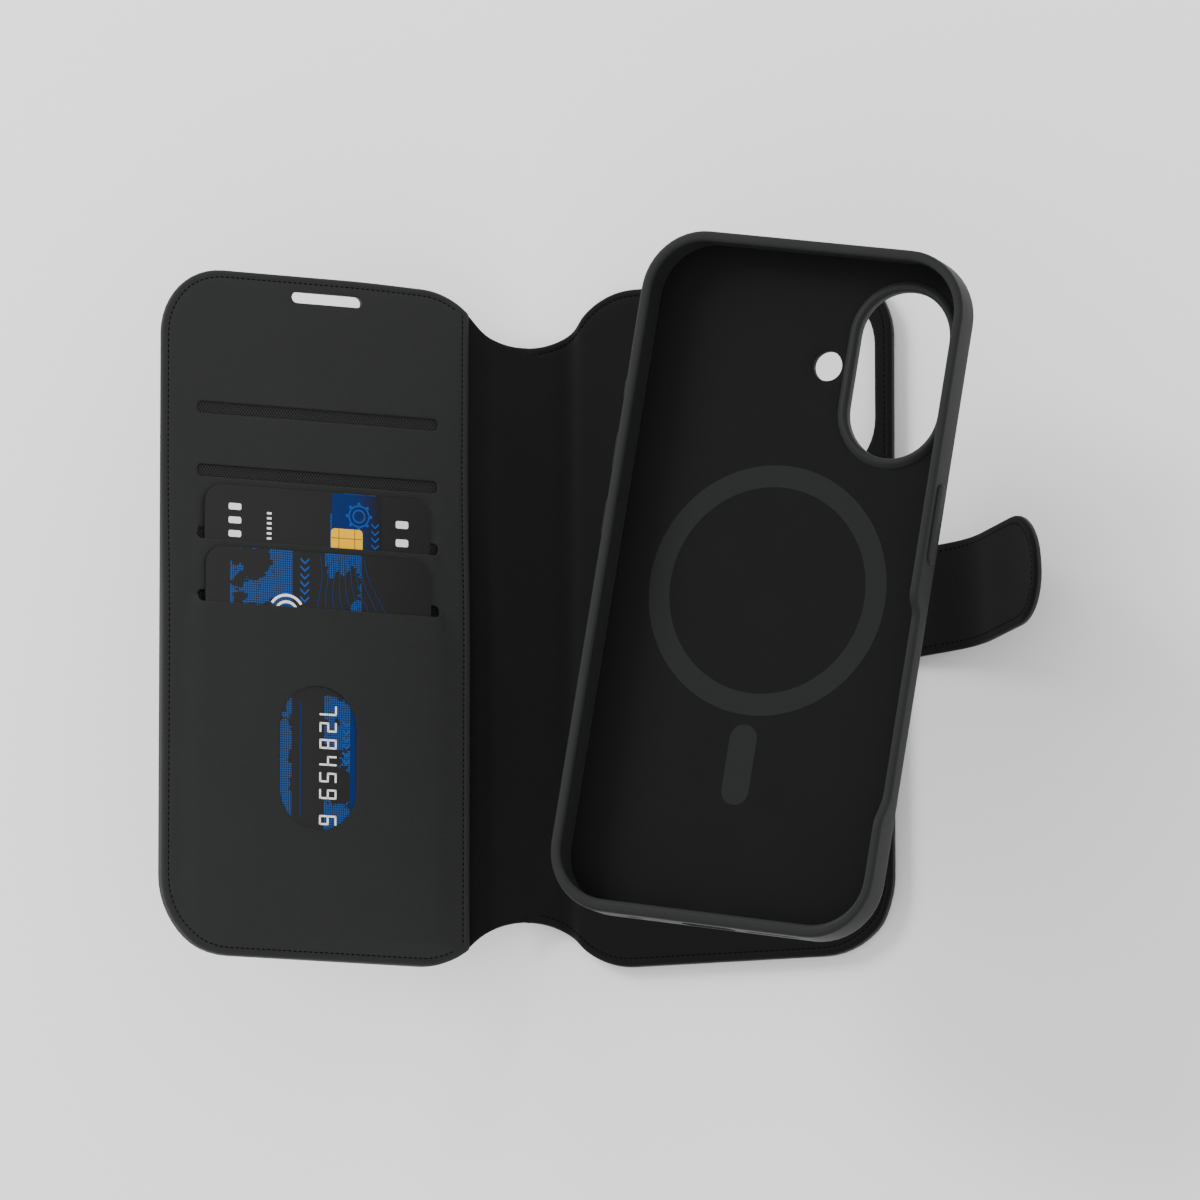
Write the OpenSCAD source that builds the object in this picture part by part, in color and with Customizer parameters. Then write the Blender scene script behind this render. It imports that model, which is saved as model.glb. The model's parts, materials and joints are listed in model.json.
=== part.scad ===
// Phone wallet case: a folding cover with card pockets and a magnetic strap, and a shell that lifts off it.
// Millimetres. The back leaf lies flat, outer face on z = 0. +Z is its normal, +Y points to the phone's top.
// The origin is on the outer face, under the middle of the magnet ring when the shell is docked.

/* [Phone] */
// Width of the phone that the shell holds
phone_w = 71.6; // [68:0.1:73]
// Height of the phone
phone_h = 147.6; // [144:0.1:149]
// Thickness of the phone
phone_t = 7.8; // [7.4:0.1:8]

/* [Shell] */
// Thickness of the shell's side walls
wall = 2; // [1.6:0.1:2]
// Thickness of the rigid back plate
plate_t = 1.7; // [1.7:0.1:1.9]
// Thickness of the soft lining on the plate
shell_lining_t = 0.4; // [0.3:0.1:0.5]
// Height of the lip above the phone's screen
lip_h = 0.8; // [0.6:0.1:1.4]
// How far the lip reaches in over the screen's edge
lip_reach = 0.6; // [0.6:0.1:1.2]
// Outer radius of the shell's corners
shell_r = 14; // [12:0.1:14]

/* [Cover] */
// Height of both leaves
leaf_h = 155.4; // [154:0.1:160]
// Width of a leaf from its fold line to its outer edge
leaf_w = 79; // [78.8:0.1:80]
// Radius of a leaf's outer corners
leaf_r = 15.2; // [8:0.1:16]
// Width of the spine between its two fold lines
spine_w = 19.6; // [19.6:0.1:21]
// Depth of the wave notch at each end of the spine
notch_d = 11.6; // [6:0.1:12]
// Half the width of the wave notch
notch_a = 26; // [22:0.5:30]

/* [Rest pose] */
// Angle of the spine above the back leaf
spine_fold = 21.54; // [15:0.01:25]
// Angle of the front leaf above the spine
front_fold = 21.92; // [15:0.01:25]
// How far the shell is turned clockwise
shell_turn = 9.87; // [0:0.01:10]
// Angle at which the strap leaves the back leaf
strap_rise = 10; // [5:1:15]
// Further angle at which the strap curls up
strap_curl = 36.5; // [30:0.5:40]

/* [Cards] */
// Width of a card
card_w = 54; // [54:0.1:54]
// Height of a card
card_h = 85.6; // [85.6:0.1:85.6]
// Thickness of a card
card_t = 0.76; // [0.7:0.01:0.76]

/* [Hidden] */

$fn = 64;
// Overlap that keeps cuts clean
e = 0.5;
// Side clearance between a moving piece and its slot
clear = 0.15;
// Thickness of a soft skin or lining
skin_t = 0.8;

// Back leaf
back_t = 3;
board_z = skin_t;
board_top = back_t - skin_t;
// Width of the turned and sewn edge around a board
hem = 3;
leaf_edge = 38.1;
hinge_x = leaf_edge - leaf_w;
ring_r = 28;
ring_inner_r = 23;
ring_t = 1.2;
window_w = 34.5;
window_h = 44;
window_r = 13.5;
window_x = 16.25;
window_y = 51.9;

// A layer starts this many times its own height, plus the gap, away from a fold line.
// It then clears its neighbour with the fold closed to 94 degrees.
fold_slope = 1.08;
fold_gap = 0.2;

// Spine
spine_board_t = 0.6;
spine_t = 2 * skin_t + spine_board_t;
notch_r = (notch_a * notch_a + notch_d * notch_d) / (4 * notch_d);

// Front leaf: heights from its outer face
front_skin_t = 0.7;
front_board_t = 0.7;
mesh_z = front_skin_t + front_board_t;
mesh_t = 0.2;
panel_t = 0.5;
air = 0.05;
panel_z0 = mesh_z + mesh_t + air;
card_z1 = panel_z0 + panel_t + air;
panel_z1 = card_z1 + card_t + 0.04;
card_z2 = panel_z1 + panel_t + air;
panel_z2 = card_z2 + card_t + 0.04;
front_t = panel_z2 + panel_t;
panel_w = 74.6;
// Slits, measured down from the leaf's top edge and in from its outer edge
slit_first = 31.2;
slit_pitch = 14.42;
slit_h = 2.45;
slit_l = 57.8;
slit_u = 37.4;
weave_w = 62;
weave_h = 128;
weave_v = 88;
divider_low = 150;
card_u = 37.8;
card_r = 4.2;
card_top1 = 48.7;
card_top2 = 63;
thumb_w = 18.3;
thumb_h = 32.7;
thumb_u = 37.8;
thumb_v = 109.85;
speaker_l = 16.8;
speaker_h = 2.5;
speaker_u = 40;
speaker_v = 4.92;
catch_l = 24;
catch_h = 18;
catch_u = 20;
catch_t = 0.5;

// Strap: its inner face is at its local z = 0
strap_h = 24.5;
strap_t = 2;
strap_y = 0.55;
strap_x = leaf_edge + 1.4;
strap_z = board_top;
strap_skew = 3.6;
root_l = 17.8;
// The root's layers start this far from its fold, clear of the leaf
root_start = 0.7;
tip_l = 33.6;
tip_r = 11.5;
tail_l = 10;
strap_magnet_l = 16;
strap_magnet_h = 12;
strap_magnet_t = 1;
strap_magnet_x = 21;

// Shell: its local origin is under the ring's middle, on its outer face
shell_w = phone_w + 2 * wall;
shell_h = phone_h + 2 * wall;
cavity_r = shell_r - wall;
floor_z = plate_t + shell_lining_t;
rim_z = floor_z + phone_t + lip_h;
shell_rest = [27.59, -4.58, 53.7];
// The ring sits this far below the middle of the phone
frame_y = 0.75;
side_z = floor_z + phone_t / 2;
camera_w = 21.2;
camera_h = 37.3;
camera_x = 22.5;
camera_y = 50.35;
camera_lip_w = 1.3;
camera_lip_h = 1;
flash_r = 3.5;
flash_x = 5.6;
flash_y = 50.8;
pill_w = 6.4;
pill_h = 17.9;
pill_y = -38.8;
pill_t = 0.8;
usb_w = 12.6;
usb_h = 5.6;
speaker_slot_w = 12.5;
speaker_slot_x = 15.7;
mic_slot_w = 3.6;
mic_slot_x = -17;
slot_h = 1.6;
trough_d = 3.2;
// Corners of the trough in the right wall, from its upper end to its lower end
trough_y = [1.1, -2.2, -43.7, -48.9];

// Buttons: length along the wall, middle, height, and how far each one stands out
flange_t = 0.4;
flange_room = 0.8;
flange_w = 0.7;
action = [5.6, 40.6, 3, 0.6];
volume_up = [9.9, 26.35, 3, 0.6];
volume_down = [10.1, 11.55, 3, 0.6];
side = [17.6, 17.9, 4.6, 0.9];

// Colours
leather = [0.17, 0.175, 0.175];
suede = [0.08, 0.08, 0.08];
fibreboard = [0.35, 0.33, 0.3];
steel = [0.6, 0.6, 0.62];
soft_black = [0.2, 0.2, 0.2];
card_blue = [0.08, 0.12, 0.2];

// Drop of the cover's end edge at a distance s from the spine's middle
function notch_drop(s) =
  s >= notch_a ? 0 :
  s > notch_a / 2 ? notch_r - sqrt(notch_r * notch_r - (notch_a - s) * (notch_a - s)) :
  notch_d - notch_r + sqrt(notch_r * notch_r - s * s);

// Upper half of a leaf's outline from x0 to its outer edge, drawn in by inset
function leaf_top(x0, inset) = [
  for (k = [0 : 10])
    let (x = x0 + (notch_a - spine_w / 2 - x0) * k / 10)
      [x, leaf_h / 2 - inset - notch_drop(x + spine_w / 2)],
  for (k = [0 : 10])
    let (r = leaf_r - inset, a = 90 - 9 * k)
      [leaf_w - leaf_r + r * cos(a), leaf_h / 2 - leaf_r + r * sin(a)]
];

function mirrored(points) = [for (k = [len(points) - 1 : -1 : 0]) [points[k][0], -points[k][1]]];

module leaf_2d(x0, inset = 0) {
  top = leaf_top(x0, inset);
  polygon(concat(top, mirrored(top)));
}

// Spine outline between its fold lines, drawn in by start at both of them
module spine_2d(start) {
  half = spine_w / 2;
  top = [
    for (k = [-6 : 6])
      let (x = (half - start) * k / 6)
        [x - half, leaf_h / 2 - notch_drop(abs(x))]
  ];
  polygon(concat(top, mirrored(top)));
}

module layer(z0, z1) {
  translate([0, 0, z0]) linear_extrude(z1 - z0) children();
}

module rounded_rect(w, h, r) {
  square([w - 2 * r, h], center = true);
  square([w, h - 2 * r], center = true);
  for (sx = [-1, 1], sy = [-1, 1]) {
    translate([sx * (w / 2 - r), sy * (h / 2 - r)]) circle(r);
  }
}

// Distance from a fold line at which a layer whose top is at height z starts
function fold_start(z) = fold_slope * z + fold_gap;

// Places of the moving bodies
module at_spine() {
  translate([hinge_x, 0, 0]) rotate([0, spine_fold, 0]) children();
}

module at_front() {
  at_spine() translate([-spine_w, 0, 0]) rotate([0, front_fold, 0]) mirror([1, 0, 0]) children();
}

module at_strap_root() {
  translate([strap_x, strap_y, strap_z]) rotate([0, 0, strap_skew]) rotate([0, -strap_rise, 0]) children();
}

module at_strap_tip() {
  at_strap_root() translate([root_l, 0, 0]) rotate([0, -strap_curl, 0]) children();
}

module at_shell() {
  translate(shell_rest) rotate([0, 0, -shell_turn]) children();
}

// A place on the front leaf, u in from its outer edge and v down from its top edge
module on_front(u, v) {
  translate([leaf_w - u, leaf_h / 2 - v]) children();
}

// ---- Back leaf ----

module back_window_2d(grow = 0) {
  translate([window_x, window_y]) rounded_rect(window_w + 2 * grow, window_h + 2 * grow, window_r + grow);
}

module tail_2d(grow = 0) {
  translate([leaf_edge - tail_l, strap_y - strap_h / 2 - grow]) square([tail_l, strap_h + 2 * grow]);
}

module back_board_2d(shrink = 0) {
  difference() {
    translate([hinge_x, 0]) leaf_2d(fold_start(board_top) + hem + shrink, hem + shrink);
    back_window_2d(hem + shrink);
    tail_2d(shrink);
  }
}

module back_skin() {
  color(leather) difference() {
    union() {
      layer(0, skin_t) translate([hinge_x, 0]) leaf_2d(fold_start(skin_t));
      layer(0, board_top) translate([hinge_x, 0]) leaf_2d(fold_start(board_top));
    }
    layer(-e, back_t) back_window_2d();
    layer(board_z, back_t) back_board_2d();
    layer(board_z, back_t) tail_2d();
  }
}

module back_board() {
  color(fibreboard) difference() {
    layer(board_z, board_top) back_board_2d(clear);
    translate([0, 0, board_top - ring_t - 0.1]) difference() {
      cylinder(h = ring_t + e, r = ring_r + clear);
      translate([0, 0, -e]) cylinder(h = ring_t + 3 * e, r = ring_inner_r - clear);
    }
  }
}

module back_magnet_ring() {
  color(steel) translate([0, 0, board_top - ring_t]) difference() {
    cylinder(h = ring_t, r = ring_r);
    translate([0, 0, -e]) cylinder(h = ring_t + 2 * e, r = ring_inner_r);
  }
}

module back_lining() {
  color(suede) layer(board_top, back_t) difference() {
    translate([hinge_x, 0]) leaf_2d(fold_start(back_t));
    back_window_2d();
  }
}

// The sewn-in end of the strap, between the skin and the lining
module strap_tail() {
  color(leather) layer(board_z, board_top) tail_2d(-clear);
}

// ---- Spine ----

module spine_skin() {
  color(leather) at_spine() layer(0, skin_t) spine_2d(fold_start(skin_t));
}

module spine_board() {
  color(fibreboard) at_spine() layer(skin_t, skin_t + spine_board_t) intersection() {
    spine_2d(fold_start(spine_t) + 0.5);
    square([4 * spine_w, leaf_h - 2 * notch_d - 2 * hem], center = true);
  }
}

module spine_lining() {
  color(suede) at_spine() layer(skin_t + spine_board_t, spine_t) spine_2d(fold_start(spine_t));
}

// ---- Front leaf ----

module speaker_2d(grow = 0) {
  r = speaker_h / 2 + grow - 0.01;
  on_front(speaker_u, speaker_v) rounded_rect(speaker_l + 2 * grow, speaker_h + 2 * grow, r);
}

module catch_2d(grow = 0) {
  on_front(catch_u, leaf_h / 2 - strap_y) square([catch_l + 2 * grow, catch_h + 2 * grow], center = true);
}

module front_board_2d(shrink = 0) {
  difference() {
    leaf_2d(fold_start(panel_z0) + hem + shrink, hem + shrink);
    speaker_2d(1.5 + shrink);
  }
}

module front_skin() {
  color(leather) at_front() difference() {
    union() {
      layer(0, front_skin_t) leaf_2d(fold_start(front_skin_t));
      layer(0, panel_z0) leaf_2d(fold_start(panel_z0));
    }
    layer(front_skin_t, front_t) front_board_2d();
    layer(-e, front_t) speaker_2d();
  }
}

module front_board() {
  color(fibreboard) at_front() difference() {
    layer(front_skin_t, mesh_z) front_board_2d(clear);
    layer(mesh_z - catch_t - 0.1, mesh_z + e) catch_2d(clear);
  }
}

// Steel plate that the strap's magnet holds on to
module front_catch_plate() {
  color(steel) at_front() layer(mesh_z - catch_t, mesh_z) catch_2d();
}

// Woven backing of the card pockets
module pocket_mesh() {
  color(suede) at_front() layer(mesh_z, mesh_z + mesh_t) intersection() {
    on_front(slit_u, weave_v) square([weave_w, weave_h], center = true);
    front_board_2d(clear);
  }
}

// Woven sheet between the two cards
module pocket_divider() {
  start = slit_bottom(3) + 0.1;
  color(suede) at_front() layer(panel_z1 + 0.02, panel_z1 + 0.32)
    on_front(slit_u, (start + divider_low) / 2) square([slit_l - 1, divider_low - start], center = true);
}

function slit_top(k) = slit_first + slit_pitch * k - slit_h / 2;
function slit_bottom(k) = slit_first + slit_pitch * k + slit_h / 2;

// The part of the panel's outline between two distances from the top edge
module panel_2d(v0, v1) {
  intersection() {
    leaf_2d(leaf_w - panel_w);
    on_front(0, v1) translate([-leaf_w, 0]) square([2 * leaf_w, v1 - v0]);
  }
}

// The same, without the field that the cards lie in
module panel_margin_2d(v0, v1) {
  difference() {
    panel_2d(v0, v1);
    on_front(slit_u, 0) translate([-slit_l / 2, -150.5]) square([slit_l, 150.5]);
  }
}

// One sheet of leather: it steps up over the upper card and again over the lower one
module card_panel() {
  color(leather) at_front() difference() {
    union() {
      layer(panel_z0, panel_z0 + panel_t) panel_2d(-1, slit_bottom(2) + 3);
      layer(panel_z0, panel_z1 + panel_t) panel_margin_2d(slit_bottom(2), slit_bottom(3) + 3);
      layer(panel_z0, front_t) panel_margin_2d(slit_bottom(3), leaf_h + 1);
      layer(panel_z1, panel_z1 + panel_t) panel_2d(slit_bottom(2), slit_top(3));
      layer(panel_z2, front_t) panel_2d(slit_bottom(3), leaf_h + 1);
    }
    for (k = [0 : 2]) {
      layer(0, panel_z0 + panel_t + air / 2)
        on_front(slit_u, slit_first + slit_pitch * k) square([slit_l, slit_h], center = true);
    }
    layer(0, panel_z0 + panel_t + air / 2)
      on_front(slit_u, slit_bottom(2) + 2) square([slit_l, 4.2], center = true);
    layer(0, 2 * front_t) on_front(thumb_u, thumb_v) rounded_rect(thumb_w, thumb_h, thumb_w / 2 - 0.01);
    layer(0, 2 * front_t) speaker_2d();
  }
}

module card(top, z) {
  at_front() layer(z, z + card_t) on_front(card_u, top + card_h / 2) rounded_rect(card_w, card_h, card_r);
}

module upper_card() {
  color(card_blue) card(card_top1, card_z1);
}

module lower_card() {
  color(card_blue) card(card_top2, card_z2);
}

// ---- Strap ----

module strap_root_2d() {
  translate([root_start, -strap_h / 2]) square([root_l - root_start - 0.1, strap_h]);
}

module strap_tip_2d() {
  translate([0.1, -strap_h / 2]) square([tip_l - tip_r, strap_h]);
  translate([0.1, -strap_h / 2 + tip_r]) square([tip_l, strap_h - 2 * tip_r]);
  for (s = [-1, 1]) {
    translate([tip_l - tip_r + 0.1, s * (strap_h / 2 - tip_r)]) circle(tip_r);
  }
}

module strap_magnet_2d(grow = 0) {
  size = [strap_magnet_l + 2 * grow, strap_magnet_h + 2 * grow];
  translate([strap_magnet_x, 0]) square(size, center = true);
}

module strap_root_skin() {
  color(leather) at_strap_root() layer(-strap_t, -strap_t / 2) strap_root_2d();
}

module strap_root_lining() {
  color(suede) at_strap_root() layer(-strap_t / 2, 0) strap_root_2d();
}

module strap_tip_skin() {
  color(leather) at_strap_tip() difference() {
    layer(-strap_t, -strap_t / 2) strap_tip_2d();
    layer(-strap_t / 2 - strap_magnet_t / 2, 0) strap_magnet_2d(clear);
  }
}

module strap_tip_lining() {
  color(suede) at_strap_tip() difference() {
    layer(-strap_t / 2, 0) strap_tip_2d();
    layer(-strap_t, -strap_t / 2 + strap_magnet_t / 2) strap_magnet_2d(clear);
  }
}

module strap_magnet() {
  color(steel) at_strap_tip()
    layer(-strap_t / 2 - strap_magnet_t / 2, -strap_t / 2 + strap_magnet_t / 2) strap_magnet_2d();
}

// ---- Shell ----

module camera_2d(grow = 0) {
  w = camera_w + 2 * grow;
  translate([camera_x, camera_y]) rounded_rect(w, camera_h + 2 * grow, w / 2 - 0.01);
}

module floor_2d(shrink = 0) {
  difference() {
    translate([0, frame_y]) rounded_rect(phone_w - 2 * shrink, phone_h - 2 * shrink, cavity_r - shrink);
    camera_2d(camera_lip_w);
    translate([flash_x, flash_y]) circle(flash_r);
  }
}

// Slot through a side wall for a button, with room for its flange inside
module button_slot(b, wall_side) {
  translate([wall_side * shell_w / 2, b[1], side_z]) {
    cube([3 * wall, b[0] + 2 * clear, b[2] + 2 * clear], center = true);
    translate([-wall_side * (wall - flange_room / 2 + e / 2), 0, 0])
      cube([flange_room + e, b[0] + 2 * (flange_w + clear), b[2] + 2 * (flange_w + clear)], center = true);
  }
}

module button(b, wall_side) {
  stem = wall - flange_room + flange_t + b[3];
  inner = shell_w / 2 - wall + flange_room - flange_t;
  translate([wall_side * (inner + stem / 2), b[1], side_z])
    cube([stem, b[0], b[2]], center = true);
  translate([wall_side * (inner + flange_t / 2), b[1], side_z])
    cube([flange_t, b[0] + 2 * flange_w, b[2] + 2 * flange_w], center = true);
}

module bottom_slot(x, w, h) {
  translate([x, frame_y - shell_h / 2, side_z]) cube([w, 3 * wall, h], center = true);
}

// Cut in the right wall that leaves the camera control free
module trough() {
  translate([shell_w / 2 - 2 * wall, 0, 0]) rotate([90, 0, 90]) linear_extrude(4 * wall) polygon([
    [trough_y[0], rim_z + e], [trough_y[0], rim_z], [trough_y[1], rim_z - trough_d],
    [trough_y[2], rim_z - trough_d], [trough_y[3], rim_z], [trough_y[3], rim_z + e]
  ]);
}

// The shell's outline, drawn in by inset
module shell_outline_2d(inset) {
  translate([0, frame_y]) rounded_rect(shell_w - 2 * inset, shell_h - 2 * inset, shell_r - inset);
}

module shell_frame() {
  color(soft_black) at_shell() difference() {
    layer(0, rim_z) shell_outline_2d(0);
    layer(-e, floor_z + phone_t) shell_outline_2d(wall);
    layer(0, rim_z + e) shell_outline_2d(wall + lip_reach);
    button_slot(action, -1);
    button_slot(volume_up, -1);
    button_slot(volume_down, -1);
    button_slot(side, 1);
    bottom_slot(0, usb_w, usb_h);
    bottom_slot(speaker_slot_x, speaker_slot_w, slot_h);
    bottom_slot(mic_slot_x, mic_slot_w, slot_h);
    trough();
  }
}

module shell_back() {
  color(soft_black) at_shell() difference() {
    layer(0, plate_t) floor_2d();
    translate([0, 0, plate_t - ring_t]) difference() {
      cylinder(h = ring_t + e, r = ring_r + clear);
      translate([0, 0, -e]) cylinder(h = ring_t + 3 * e, r = ring_inner_r - clear);
    }
    layer(plate_t - pill_t, plate_t + e) pill_2d(clear);
  }
}

module pill_2d(grow = 0) {
  translate([0, pill_y]) rounded_rect(pill_w + 2 * grow, pill_h + 2 * grow, pill_w / 2 + grow - 0.01);
}

module shell_lining() {
  color(suede) at_shell() layer(plate_t, floor_z) floor_2d(0.1);
}

// Raised ring around the camera opening
module camera_lip() {
  color(soft_black) at_shell() layer(0, floor_z + camera_lip_h) difference() {
    camera_2d(camera_lip_w);
    camera_2d();
  }
}

module alignment_magnet() {
  color(steel) at_shell() layer(plate_t - pill_t, plate_t) pill_2d();
}

module shell_magnet_ring() {
  color(steel) at_shell() translate([0, 0, plate_t - ring_t + 0.05]) difference() {
    cylinder(h = ring_t - 0.1, r = ring_r);
    translate([0, 0, -e]) cylinder(h = ring_t + 2 * e, r = ring_inner_r);
  }
}

module action_button() {
  color(soft_black) at_shell() button(action, -1);
}

module volume_up_button() {
  color(soft_black) at_shell() button(volume_up, -1);
}

module volume_down_button() {
  color(soft_black) at_shell() button(volume_down, -1);
}

module side_button() {
  color(soft_black) at_shell() button(side, 1);
}

back_skin();
back_board();
back_magnet_ring();
back_lining();
strap_tail();
spine_skin();
spine_board();
spine_lining();
front_skin();
front_board();
front_catch_plate();
pocket_mesh();
pocket_divider();
card_panel();
upper_card();
lower_card();
strap_root_skin();
strap_root_lining();
strap_tip_skin();
strap_tip_lining();
strap_magnet();
shell_frame();
shell_back();
shell_lining();
camera_lip();
alignment_magnet();
shell_magnet_ring();
action_button();
volume_up_button();
volume_down_button();
side_button();
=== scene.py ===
import json
import math

import bmesh
import bpy
import numpy as np
from mathutils import Matrix, Vector
from mathutils.geometry import delaunay_2d_cdt


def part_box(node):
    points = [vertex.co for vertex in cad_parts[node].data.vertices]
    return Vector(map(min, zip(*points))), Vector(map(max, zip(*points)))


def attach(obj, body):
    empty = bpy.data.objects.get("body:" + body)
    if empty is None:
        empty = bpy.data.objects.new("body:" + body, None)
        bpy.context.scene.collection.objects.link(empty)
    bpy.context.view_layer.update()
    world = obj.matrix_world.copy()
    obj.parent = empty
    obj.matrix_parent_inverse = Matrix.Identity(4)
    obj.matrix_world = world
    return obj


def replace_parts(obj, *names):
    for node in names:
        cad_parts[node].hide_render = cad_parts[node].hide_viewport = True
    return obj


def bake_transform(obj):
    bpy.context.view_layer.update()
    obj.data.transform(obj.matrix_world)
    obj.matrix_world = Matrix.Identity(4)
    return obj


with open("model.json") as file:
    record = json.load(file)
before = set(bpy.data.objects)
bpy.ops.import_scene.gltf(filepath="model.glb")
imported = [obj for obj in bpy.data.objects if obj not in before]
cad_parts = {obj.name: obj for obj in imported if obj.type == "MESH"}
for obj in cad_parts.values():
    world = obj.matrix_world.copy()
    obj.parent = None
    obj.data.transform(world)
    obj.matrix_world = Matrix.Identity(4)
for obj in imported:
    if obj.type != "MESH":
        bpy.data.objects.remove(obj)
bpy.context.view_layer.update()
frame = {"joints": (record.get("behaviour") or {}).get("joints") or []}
joint = {j["name"]: j for j in frame["joints"]}
MM = 0.001


def mm(v):
    return np.array(v, float) / MM


# ---- Sizes in mm. Those of the folds and the leaves come from the CAD boxes and the joints ----

BACK_FOLD = mm(joint["spine_fold"]["pos_m"])
FRONT_FOLD = mm(joint["front_fold"]["pos_m"])
A_SPINE = math.radians(joint["spine_fold"]["range_deg"][1])
A_FRONT = A_SPINE + math.radians(joint["front_fold"]["range_deg"][1])
HALF = float(np.linalg.norm(FRONT_FOLD - BACK_FOLD)) / 2
LO, HI = (mm(p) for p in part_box("back_lining"))
LEAF_H = HI[1] - LO[1]
TOP = LEAF_H / 2
EDGE = HALF + HI[0] - BACK_FOLD[0]

# The ends of the cover, each as (top, bottom)
NOTCH_HALF = 26.0
NOTCH_DEPTH = (12.3, 10.9)
CORNER_R = (15.2, 17.3)

BEND = 4.4                                  # half of the length over which a fold bends
BACK_T, SPINE_T, FRONT_T = 3.0, 2.2, 1.6    # heights of the inner face over the outer one
BACK_CREASE, FRONT_CREASE = 1.7, 1.6
TUCK = 0.55                                 # the front skin ends this far inside the panel's edge
WINDOW = (16.25, 51.9, 34.5, 44, 13.5)      # camera window: x, y, width, height, corner radius
SPEAKER_U, SPEAKER_V = 40, 4.92

# Small moves of the cover's edges towards the photo's outline
FRONT_IN, FRONT_IN_LOW, FRONT_IN_OVER = 0.4, 0.7, 12
BACK_IN, BACK_IN_LOW, BACK_IN_OVER = 0.4, 0.5, 4.6
FRONT_UP = 0.7

# Sewing
SEW_IN = 1.7
GROOVE, GROOVE_HALF = 0.14, 0.4
SEW_BANDS = (1.3, 1.5, 1.7, 1.9, 2.1)
PITCH, DASH, THREAD_W, SUNK, LOOP = 1.25, 0.9, 0.42, 0.18, 0.2

# Card panel, with u from the free edge and v from the top
PANEL_W = 74.6
PANEL_T = 0.34
SLIT_V = (31.2, 45.62, 60.04, 74.46)
SLIT_U, SLIT_L, SLIT_H = 37.95, 57.8, 2.7
THUMB = (37.8, 109.85, 18.3, 32.7)
CARD_U, CARD_W, CARD_L, CARD_R, CARD_T = 37.8, 54, 85.6, 4.2, 0.6
CARD_TOP = {"upper_card": 48.7, "lower_card": 63.0}
CARD_LIES = {"upper_card": 2.18, "lower_card": 3.2}

# Strap, with s along it from the root's fold
ROOT_AT = mm(joint["strap_root_fold"]["pos_m"])
TIP_AT = mm(joint["strap_tip_fold"]["pos_m"])
RISE = math.radians(joint["strap_root_fold"]["range_deg"][1])
CLOSED = joint["strap_root_fold"]["range_deg"][1] - joint["strap_root_fold"]["range_deg"][0]
CURL = math.radians(180 - CLOSED + joint["strap_tip_fold"]["range_deg"][0])
SKEW = math.atan2(-joint["strap_root_fold"]["axis"][0], joint["strap_root_fold"]["axis"][1])
ROOT_L = float(np.linalg.norm(TIP_AT - ROOT_AT))
STRAP_H, TIP_L, TIP_R, STRAP_T = 24.5, 33.6, 11.5, 2.0
ROOT_BEND, CURL_BEND, TIP_BLEND = 2.5, 8, 6
STRAP_SEW = 0.12

# Shell, in its own axes
SHELL_AT = mm(joint["shell_turn"]["pos_m"])
TURN = -math.radians(joint["shell_turn"]["range_deg"][0])
SHELL_W, SHELL_H, SHELL_R = 75.8, 152.0, 14.0
WALL, PLATE, LIP, RIM = 1.7, 2.1, 0.65, 10.4
INNER_R = SHELL_R - WALL
FRAME_X, FRAME_Y = 0.15, 0.77
SLOT_Z = PLATE + 3.9
CAMERA_X, CAMERA_Y, CAMERA_W, CAMERA_H = 22.5, 50.35, 21.2, 37.3
FLASH_X, FLASH_Y, FLASH_R = 5.6, 50.8, 3.35
RING_OUT, RING_IN = 27.8, 22.9
# name, middle x, width, height
BOTTOM_SLOTS = (("usb", 0.55, 12.5, 4.6), ("speaker", 15.7, 12.5, 1.6), ("mic", -17, 3.6, 1.6))
# name, side, middle y, length, height, how far it stands out
BUTTONS = (("action_button", -1, 40.6, 5.6, 4.6, 0.9),
           ("volume_up_button", -1, 26.35, 9.9, 4.6, 0.9),
           ("volume_down_button", -1, 11.55, 10.1, 4.6, 0.9),
           ("side_button", 1, 17.9, 17.6, 4.6, 0.8))


# ---- Materials. Their patterns lie in the "flat" UV map, which is in mm ----

def flat_uv(nt):
    n = nt.nodes.new("ShaderNodeUVMap")
    n.uv_map = "flat"
    return n.outputs["UV"]


def noise(nt, uv, scale, detail, roughness=0.5):
    n = nt.nodes.new("ShaderNodeTexNoise")
    n.inputs["Scale"].default_value = scale
    n.inputs["Detail"].default_value = detail
    n.inputs["Roughness"].default_value = roughness
    nt.links.new(uv, n.inputs["Vector"])
    return n.outputs


def math_node(nt, operation, *values):
    """A Math node on numbers and sockets."""
    n = nt.nodes.new("ShaderNodeMath")
    n.operation = operation
    for v, socket in zip(values, n.inputs):
        if isinstance(v, bpy.types.NodeSocket):
            nt.links.new(v, socket)
        else:
            socket.default_value = v
    return n.outputs["Value"]


def mix_colors(nt, factor, a, b):
    n = nt.nodes.new("ShaderNodeMix")
    n.data_type = "RGBA"
    n.inputs["A"].default_value = (*a, 1)
    n.inputs["B"].default_value = (*b, 1)
    nt.links.new(factor, n.inputs["Factor"])
    return n.outputs["Result"]


def along_x(nt):
    n = nt.nodes.new("ShaderNodeSeparateXYZ")
    nt.links.new(flat_uv(nt), n.inputs[0])
    return n.outputs["X"]


def times(color, k):
    return [c * k for c in color]


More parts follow.
